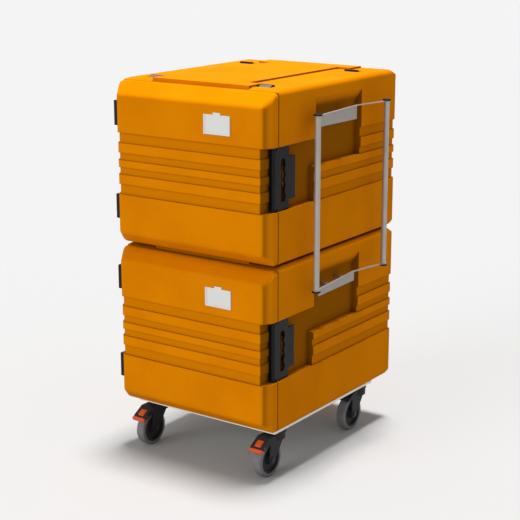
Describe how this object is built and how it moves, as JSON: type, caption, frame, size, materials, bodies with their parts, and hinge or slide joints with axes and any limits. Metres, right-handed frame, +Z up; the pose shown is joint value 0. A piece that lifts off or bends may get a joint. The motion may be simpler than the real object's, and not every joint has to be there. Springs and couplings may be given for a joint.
{
  "type": "insulated food cart",
  "caption": "Stack of insulated front-door food boxes on a castor dolly, tied together by an upright push bar, with ribbed shells, side latches and grip pockets.",
  "frame": {"origin": "on the floor, under the middle of the cart's outline", "axes": "+Z up, the doors face -Y, the hinges are on -X, the latches and the push bar on +X"},
  "size_m": [0.5813, 0.656, 1.06],
  "materials": {
    "shell_orange": "satin moulded",
    "foam": "rigid foam",
    "liner_grey": "smooth moulded",
    "seal_rubber": "soft matte",
    "black_plastic": "satin moulded",
    "clear_grey": "smooth",
    "card_white": "smooth",
    "steel": "plain",
    "deck_aluminium": "satin",
    "bar_steel": "brushed",
    "castor_plastic": "fine grain",
    "wheel_plastic": "fine grain",
    "tyre_grey": "soft matte",
    "pedal_orange": "satin moulded"
  },
  "bodies": {
    "cart": {"lower_outer_shell": "shell_orange", "lower_foam_core": "foam", "lower_inner_liner": "liner_grey", "upper_outer_shell": "shell_orange", "upper_foam_core": "foam", "upper_inner_liner": "liner_grey", "body_hinge_leaves": "black_plastic", "hinge_pins": "steel", "body_screws": "steel", "latch_keepers": "shell_orange", "stacking_studs": "black_plastic", "deck": "deck_aluminium", "castor_heads": "steel", "castor_swivel_pins": "steel", "push_bar_tubes": "bar_steel", "push_bar_caps": "black_plastic", "push_bar_upper_bracket": "bar_steel", "push_bar_lower_bracket": "bar_steel", "push_bar_studs": "steel"},
    "lower_door": {"lower_door_shell": "shell_orange", "lower_door_foam": "foam", "lower_door_liner": "liner_grey", "lower_door_seal": "seal_rubber", "lower_door_hinge_leaves": "black_plastic", "lower_door_screws": "steel", "lower_latch_base": "black_plastic", "lower_latch_pin": "steel", "lower_card_holder": "clear_grey"},
    "lower_latch": {"lower_latch_lever": "black_plastic"},
    "lower_card_slide": {"lower_card": "card_white"},
    "upper_door": {"upper_door_shell": "shell_orange", "upper_door_foam": "foam", "upper_door_liner": "liner_grey", "upper_door_seal": "seal_rubber", "upper_door_hinge_leaves": "black_plastic", "upper_door_screws": "steel", "upper_latch_base": "black_plastic", "upper_latch_pin": "steel", "upper_card_holder": "clear_grey"},
    "upper_latch": {"upper_latch_lever": "black_plastic"},
    "upper_card_slide": {"upper_card": "card_white"},
    "castor_front_left": {"castor_front_left_housing": "castor_plastic", "castor_front_left_axle": "steel"},
    "wheel_front_left": {"castor_front_left_wheel": "wheel_plastic", "castor_front_left_tyre": "tyre_grey"},
    "pedal_front_left": {"castor_front_left_brake_pedal": "pedal_orange"},
    "castor_front_right": {"castor_front_right_housing": "castor_plastic", "castor_front_right_axle": "steel"},
    "wheel_front_right": {"castor_front_right_wheel": "wheel_plastic", "castor_front_right_tyre": "tyre_grey"},
    "pedal_front_right": {"castor_front_right_brake_pedal": "pedal_orange"},
    "castor_rear_left": {"castor_rear_left_housing": "castor_plastic", "castor_rear_left_axle": "steel"},
    "wheel_rear_left": {"castor_rear_left_wheel": "wheel_plastic", "castor_rear_left_tyre": "tyre_grey"},
    "castor_rear_right": {"castor_rear_right_housing": "castor_plastic", "castor_rear_right_axle": "steel"},
    "wheel_rear_right": {"castor_rear_right_wheel": "wheel_plastic", "castor_rear_right_tyre": "tyre_grey"}
  },
  "joints": [
    {"name": "lower_door_hinge", "type": "hinge", "parent": "cart", "child": "lower_door", "pos_m": [-0.28665, -0.27495, 0.37], "axis": [0, 0, -1], "range_deg": [0, 180]},
    {"name": "lower_latch_pivot", "type": "hinge", "parent": "lower_door", "child": "lower_latch", "pos_m": [0.22165, -0.27955, 0.364], "axis": [0, 0, -1], "range_deg": [0, 100]},
    {"name": "lower_card_lift", "type": "slide", "parent": "lower_door", "child": "lower_card_slide", "axis": [0, 0, 1], "range_m": [0, 0.05]},
    {"name": "upper_door_hinge", "type": "hinge", "parent": "cart", "child": "upper_door", "pos_m": [-0.28665, -0.27495, 0.832], "axis": [0, 0, -1], "range_deg": [0, 180]},
    {"name": "upper_latch_pivot", "type": "hinge", "parent": "upper_door", "child": "upper_latch", "pos_m": [0.22165, -0.27955, 0.826], "axis": [0, 0, -1], "range_deg": [0, 100]},
    {"name": "upper_card_lift", "type": "slide", "parent": "upper_door", "child": "upper_card_slide", "axis": [0, 0, 1], "range_m": [0, 0.05]},
    {"name": "front_left_swivel", "type": "hinge", "parent": "cart", "child": "castor_front_left", "pos_m": [-0.21685, -0.22455, 0.113], "axis": [0, 0, 1], "continuous": true},
    {"name": "front_left_roll", "type": "hinge", "parent": "castor_front_left", "child": "wheel_front_left", "pos_m": [-0.21685, -0.26255, 0.05], "axis": [1, 0, 0], "continuous": true},
    {"name": "front_left_brake", "type": "hinge", "parent": "castor_front_left", "child": "pedal_front_left", "pos_m": [-0.21685, -0.30319, 0.09639], "axis": [1, 0, 0], "range_deg": [0, 12]},
    {"name": "front_right_swivel", "type": "hinge", "parent": "cart", "child": "castor_front_right", "pos_m": [0.19115, -0.22455, 0.113], "axis": [0, 0, 1], "continuous": true},
    {"name": "front_right_roll", "type": "hinge", "parent": "castor_front_right", "child": "wheel_front_right", "pos_m": [0.19115, -0.26255, 0.05], "axis": [1, 0, 0], "continuous": true},
    {"name": "front_right_brake", "type": "hinge", "parent": "castor_front_right", "child": "pedal_front_right", "pos_m": [0.19115, -0.30319, 0.09639], "axis": [1, 0, 0], "range_deg": [0, 12]},
    {"name": "rear_left_swivel", "type": "hinge", "parent": "cart", "child": "castor_rear_left", "pos_m": [-0.21685, 0.20145, 0.113], "axis": [0, 0, 1], "continuous": true},
    {"name": "rear_left_roll", "type": "hinge", "parent": "castor_rear_left", "child": "wheel_rear_left", "pos_m": [-0.21685, 0.16345, 0.05], "axis": [1, 0, 0], "continuous": true},
    {"name": "rear_right_swivel", "type": "hinge", "parent": "cart", "child": "castor_rear_right", "pos_m": [0.19115, 0.20145, 0.113], "axis": [0, 0, 1], "continuous": true},
    {"name": "rear_right_roll", "type": "hinge", "parent": "castor_rear_right", "child": "wheel_rear_right", "pos_m": [0.19115, 0.16345, 0.05], "axis": [1, 0, 0], "continuous": true}
  ]
}
